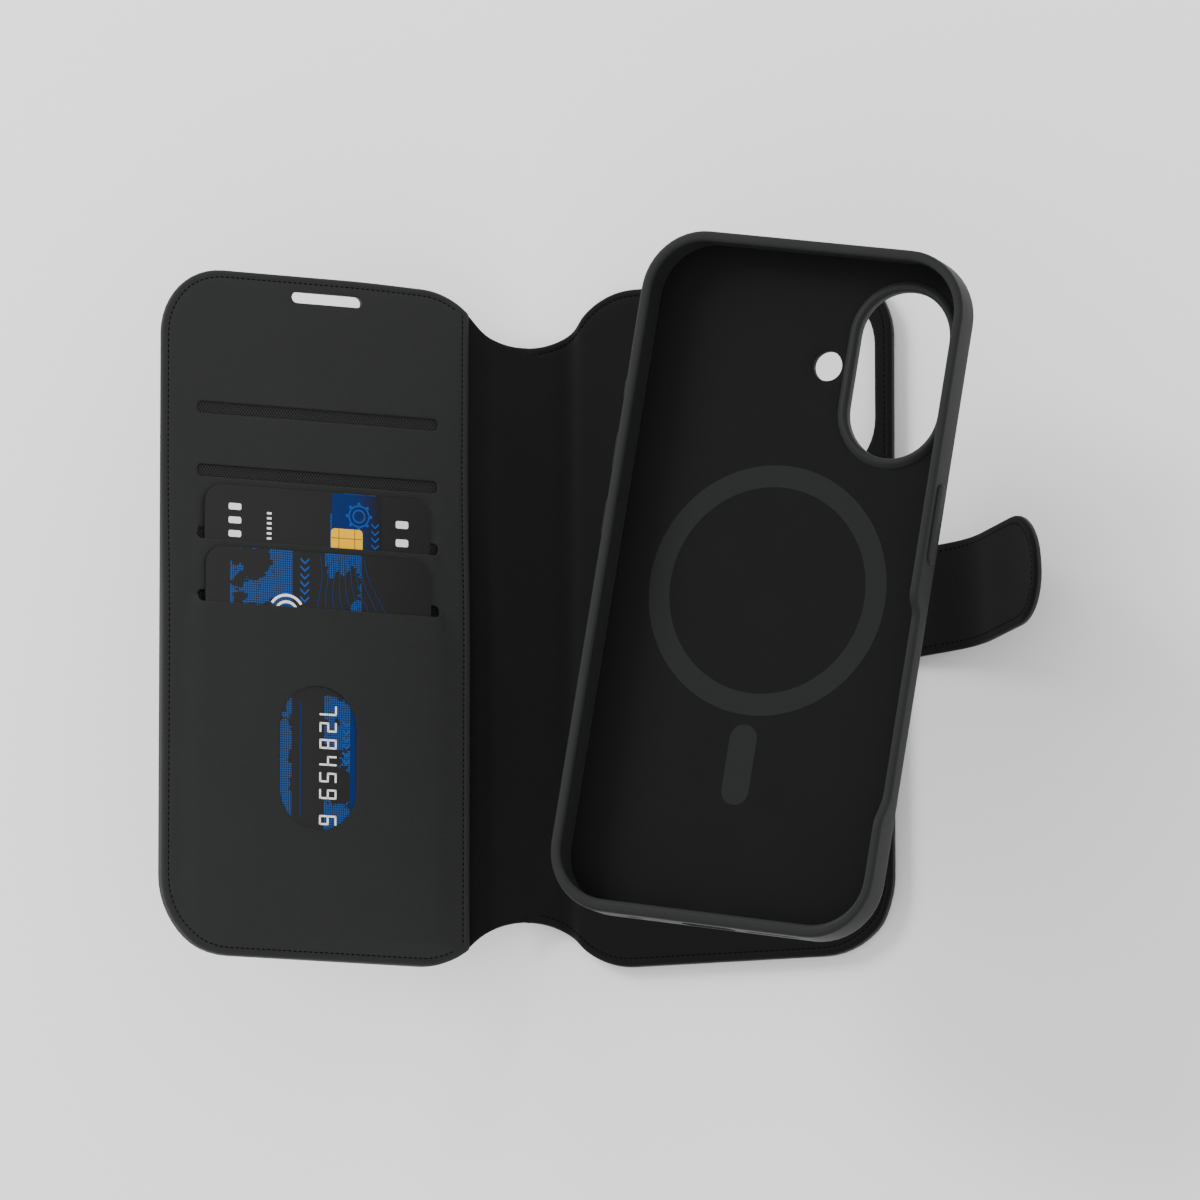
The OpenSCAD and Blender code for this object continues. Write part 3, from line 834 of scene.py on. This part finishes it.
STRAP_S0 = -12
STRAP_GRID = np.arange(STRAP_S0, ROOT_L + TIP_L + 2, STEP)
STRAP_MID = (strap_angle(STRAP_GRID)[1:] + strap_angle(STRAP_GRID)[:-1]) / 2
STRAP_X = np.concatenate([[0], np.cumsum(STEP * np.cos(STRAP_MID))]) + STRAP_S0
STRAP_Z = np.concatenate([[0], np.cumsum(STEP * np.sin(STRAP_MID))])


def on_strap(s, y, w):
    s = np.asarray(s, float)
    y = np.asarray(y, float) + 0 * s
    a = strap_angle(s)
    x = np.interp(s, STRAP_GRID, STRAP_X) - np.sin(a) * w
    z = np.interp(s, STRAP_GRID, STRAP_Z) + np.cos(a) * w
    return np.stack([ROOT_AT[0] + x * math.cos(SKEW) - y * math.sin(SKEW),
                     ROOT_AT[1] + x * math.sin(SKEW) + y * math.cos(SKEW), ROOT_AT[2] + z], -1)


def strap_tip(r):
    """The tip's rounded end, with corners of radius r about the centres of TIP_R's."""
    out = []
    x = ROOT_L + TIP_L - TIP_R
    for sy, a0 in ((-1, -90), (1, 0)):
        for k in range(11):
            a = math.radians(a0 + 9 * k)
            out.append((x + r * math.cos(a), sy * (STRAP_H / 2 - TIP_R) + r * math.sin(a)))
    return out


def strap():
    seam, side = ROOT_L / 2, STRAP_H / 2
    tip = strap_tip(TIP_R)
    whole = np.array([(-9, -side)] + tip + [(-9, side)])

    def edge(s, y):
        return rounding(distance(np.stack([s, y], 1), whole), 0.8)

    def top(s, y, d, dh):
        return -edge(s, y)

    def bottom(s, y, d, dh):
        return -STRAP_T + edge(s, y)

    def at(s):
        return on_strap(np.array([s]), [0], np.zeros(1))[0] * MM

    root_blend = ("back", "strap_root", at(-ROOT_BEND), at(ROOT_BEND))
    tip_blend = ("strap_root", "strap_tip", at(ROOT_L - TIP_BLEND), at(ROOT_L + TIP_BLEND))
    root = [(-5, -side), (seam, -side), (seam, side), (-5, side)]
    ends = (("strap_root", root, root_blend, ("strap_root_skin", "strap_root_lining")),
            ("strap_tip", [(seam, -side)] + tip + [(seam, side)], tip_blend,
             ("strap_tip_skin", "strap_tip_lining", "strap_magnet")))
    for name, poly, blend, nodes in ends:
        o = slab(name, poly, [], 1.3, top, bottom, on_strap, [SUEDE, OUTSIDE], (0.12, 0.35, 0.8))
        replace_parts(o, *nodes)
        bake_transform(o)

    def sewn(s, y):
        return 0 * s + STRAP_SEW

    sew = side - SEW_IN
    path = [(seam + 0.3, -sew), (ROOT_L + TIP_L - TIP_R, -sew)]
    path += strap_tip(TIP_R - SEW_IN) + [(seam + 0.3, sew)]
    stitch_row("strap_tip_stitches", path, on_strap, sewn, tip_blend)
    for sy in (-1, 1):
        row = [(1, sy * sew), (seam - 0.3, sy * sew)]
        stitch_row(f"strap_root_stitches_{sy}", row, on_strap, sewn, root_blend)


# ---- Shell ----

def on_shell(x, y, z):
    x, y, z = (np.asarray(a, float) for a in np.broadcast_arrays(x, y, z))
    c, s = math.cos(TURN), math.sin(TURN)
    return np.stack([SHELL_AT[0] + x * c + y * s, SHELL_AT[1] - x * s + y * c, SHELL_AT[2] + z], -1)


def sweep(name, profile, path, warp=None):
    """A closed profile of (radius, height) carried along a path of (x, y, nx, ny)."""
    n, k = len(path), len(profile)
    verts, uv = [], []
    run = 0.0
    for i, (x, y, nx, ny) in enumerate(path):
        if i:
            run += math.hypot(x - path[i - 1][0] + (nx - path[i - 1][2]) * profile[0][0],
                              y - path[i - 1][1] + (ny - path[i - 1][3]) * profile[0][0])
        acc = 0.0
        for j, (r, z) in enumerate(profile):
            if j:
                acc += math.hypot(r - profile[j - 1][0], z - profile[j - 1][1])
            rr, zz = warp(x + nx * r, y + ny * r, nx, ny, r, z) if warp else (r, z)
            verts.append(on_shell(x + nx * rr, y + ny * rr, zz))
            uv.append((run, acc))
    faces = []
    for i in range(n):
        for j in range(k):
            here, there = i * k, ((i + 1) % n) * k
            faces.append((here + j, there + j, there + (j + 1) % k, here + (j + 1) % k))
    return face_outwards(make(name, verts, faces, [SHELL], uv=uv, sharp=50))


def rect_path(w, h, r, stops_x, stops_y, n=12):
    """Corner centres and outward normals round a rounded rectangle, with extra stops on the straights."""
    a, b = w / 2 - r, h / 2 - r
    xs, ys = sorted(x for x in stops_x if abs(x) < a), sorted(y for y in stops_y if abs(y) < b)
    corners = ((a, b), (-a, b), (-a, -b), (a, -b))
    straights = ([(x, b, 0, 1) for x in xs[::-1]], [(-a, y, -1, 0) for y in ys[::-1]],
                 [(x, -b, 0, -1) for x in xs], [(a, y, 1, 0) for y in ys])
    out = []
    for q, ((cx, cy), straight) in enumerate(zip(corners, straights)):
        for k in range(n + 1):
            t = math.radians(90 * q + 90 * k / n)
            out.append((cx, cy, math.cos(t), math.sin(t)))
        out += straight
    return out


def quarter(cx, cz, r, a0, a1, n=5):
    return [(cx + r * math.cos(math.radians(a0 + (a1 - a0) * k / n)),
             cz + r * math.sin(math.radians(a0 + (a1 - a0) * k / n))) for k in range(n + 1)]


def rim_shape(x, y, nx, ny, r, z):
    """The lip's reach varies round the rim, and the right wall dips beside the camera control."""
    if z < RIM - 2.5:
        return r, z
    k = 1 - 0.55 * max(nx, 0) ** 2 + 0.7 * max(-ny, 0) ** 2
    r = INNER_R - (INNER_R - r) * k if r < INNER_R else r
    if x < SHELL_W / 2 - 6:
        return r, z
    t = float(smooth((1.6 - y) / 4.2) * smooth((y + 49.4) / 7.5))
    return (r + (max(r, INNER_R - 0.05) - r) * t), z - 3.2 * t


def cut_slot(o, name, x, w, h):
    """Cuts a slot through the shell's bottom wall."""
    ring = rounded(x, SLOT_Z, w, h, h / 2 - 0.02, 8)
    verts = [on_shell(a, FRAME_Y - SHELL_H / 2 + k, b) for k in (-3, 3) for a, b in ring]
    cutter = face_outwards(make(name + "_cutter", verts, prism_faces(len(ring)), [SHELL]))
    mod = o.modifiers.new("cut", "BOOLEAN")
    mod.operation = "DIFFERENCE"
    mod.solver = "EXACT"
    mod.object = cutter
    me = bpy.data.meshes.new_from_object(o.evaluated_get(bpy.context.evaluated_depsgraph_get()))
    o.modifiers.clear()
    o.data = me
    bpy.data.objects.remove(cutter)


def shell_frame():
    prof = [(INNER_R - 0.9, 0.0), (SHELL_R - 3.4, 0.0)] + quarter(SHELL_R - 3.2, 3.2, 3.2, -80, 0, 8)
    prof += quarter(SHELL_R - 0.9, RIM - 0.9, 0.9, 0, 90, 7)
    prof += quarter(INNER_R - LIP + 0.85, RIM - 0.85, 0.85, 90, 180, 6)
    prof += [(INNER_R - LIP + 0.1, RIM - 1.2), (INNER_R, RIM - 1.5), (INNER_R, PLATE - 0.02),
             (INNER_R - 0.9, PLATE - 0.02)]
    path = rect_path(SHELL_W, SHELL_H, SHELL_R, np.arange(-24, 24.1, 4), np.arange(-62, 62.1, 1.0))
    path = [(a + FRAME_X, b + FRAME_Y, c, d) for a, b, c, d in path]
    o = sweep("shell_frame_visual", prof, path, rim_shape)
    for slot in BOTTOM_SLOTS:
        cut_slot(o, *slot)
    o.data.set_sharp_from_angle(angle=math.radians(40))
    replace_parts(o, "shell_frame")
    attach(o, "shell")


def shell_plate():
    hole = stadium(CAMERA_X, CAMERA_Y, CAMERA_W + 1.4, CAMERA_H + 1.4, 16)
    outline = rounded(FRAME_X, FRAME_Y, SHELL_W - 2 * WALL, SHELL_H - 2 * WALL, INNER_R, 12)
    o = slab("shell_plate_visual", outline, [hole, circle(FLASH_X, FLASH_Y, FLASH_R, 36)], 4.0,
             lambda x, y, d, dh: PLATE - rounding(dh, 0.3), lambda x, y, d, dh: rounding(dh, 0.3),
             on_shell, [FLOOR_CLOTH, SHELL], (0.1, 0.3))
    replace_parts(o, "shell_back", "shell_lining", "alignment_magnet", "shell_magnet_ring")
    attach(o, "shell")


def camera_lip():
    r = CAMERA_W / 2
    a = CAMERA_H / 2 - r
    path = [(CAMERA_X, CAMERA_Y + dy, math.cos(t), math.sin(t))
            for dy, t0 in ((a, 0), (-a, math.pi)) for t in np.linspace(t0, t0 + math.pi, 25)]
    prof = [(r + 1.3, 0.2), (r + 2.3, PLATE - 0.05), (r + 2.1, PLATE + 0.3)]
    prof += quarter(r + 0.9, PLATE + 0.1, 0.9, 40, 180, 8) + [(r, 0.2), (r + 0.2, 0.0), (r + 1.1, 0.0)]
    o = sweep("camera_lip_visual", prof, path)
    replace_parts(o, "camera_lip")
    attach(o, "shell")


def magnet_prints():
    for name, outline, holes in (("ring_print", circle(0, 0, RING_OUT, 96), [circle(0, 0, RING_IN, 96)]),
                                 ("pill_print", stadium(0, -38.8, 6.4, 17.9, 12), [])):
        o = slab(name, outline, holes, 3.0, level(PLATE + 0.04), level(PLATE - 0.02),
                 on_shell, [PRINT], (0.3,))
        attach(o, "shell")


def buttons():
    for name, side, y, length, h, out in BUTTONS:
        base, face = SHELL_W / 2 - 1.0, SHELL_W / 2 + out
        ring = rounded(y, SLOT_Z, length, h, h / 2 - 0.3, 5)
        n = len(ring)
        verts = [on_shell(side * x, a, b) for x in (base, face - 0.3) for a, b in ring]
        verts += [on_shell(side * face, y + (a - y) * (1 - 0.7 / length), SLOT_Z + (b - SLOT_Z) * 0.76)
                  for a, b in ring]
        faces = [tuple(range(2 * n, 3 * n)), tuple(range(n - 1, -1, -1))]
        for k in (0, n):
            faces += [(k + i, k + (i + 1) % n, k + n + (i + 1) % n, k + n + i) for i in range(n)]
        o = make(name + "_visual", verts, faces, [SHELL], uv=np.concatenate([ring] * 3), sharp=60)
        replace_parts(face_outwards(o), name)
        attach(o, name)


# ---- Building it ----

cover_back()
cover_front()
panel = panel_outline()
card_panel(panel)
weave = pocket_cloth("pocket_weave_visual", "pocket_mesh", 6.4, 68.4, -70, 72,
                     [speaker_slot(17.4, 3.1)], 1.5, 1.64)
divider = pocket_cloth("pocket_divider_visual", "pocket_divider", 9, 65.8, -72, 1.6, [], 2.84, 3.0)
cards()
strap()
shell_frame()
shell_plate()
camera_lip()
magnet_prints()
buttons()
cover_stitches(panel)

# ---- Stage, light and camera ----

bpy.ops.mesh.primitive_plane_add(size=6, location=(0, 0, -0.0006))
ground = bpy.context.object
ground.name = "floor"
pale = bpy.data.materials.new("floor")
pale.use_nodes = True
pale.node_tree.nodes["Principled BSDF"].inputs["Base Color"].default_value = (0.92, 0.92, 0.92, 1)
pale.node_tree.nodes["Principled BSDF"].inputs["Roughness"].default_value = 0.9
ground.data.materials.append(pale)

world = bpy.data.worlds.new("studio")
world.use_nodes = True
world.node_tree.nodes["Background"].inputs["Color"].default_value = (1, 1, 1, 1)
world.node_tree.nodes["Background"].inputs["Strength"].default_value = 1.32
bpy.context.scene.world = world


def soft_light(name, at, size, power):
    """A square light aimed at the middle of the object."""
    d = bpy.data.lights.new(name, "AREA")
    d.shape = "SQUARE"
    d.size = size
    d.energy = power
    o = bpy.data.objects.new(name, d)
    bpy.context.scene.collection.objects.link(o)
    o.location = at
    o.rotation_euler = (Vector((0, 0, 0.03)) - Vector(at)).to_track_quat("-Z", "Y").to_euler()


soft_light("key", (-1.1, 0.9, 1.0), size=0.7, power=27)
soft_light("fill", (0.6, -0.5, 1.5), size=1.2, power=2)

cam_data = bpy.data.cameras.new("camera")
cam_data.lens = 285
cam_data.sensor_width = 36
cam_data.clip_start = 0.05
cam = bpy.data.objects.new("camera", cam_data)
bpy.context.scene.collection.objects.link(cam)
right, up, away = (0.93015, 0.0002, -0.36718), (0.06595, 0.98364, 0.16761), (0.36121, -0.18012, 0.91492)
cam.rotation_euler = Matrix((right, up, away)).transposed().to_euler()
cam.location = (0.74378, -0.38082, 1.96943)
bpy.context.scene.camera = cam
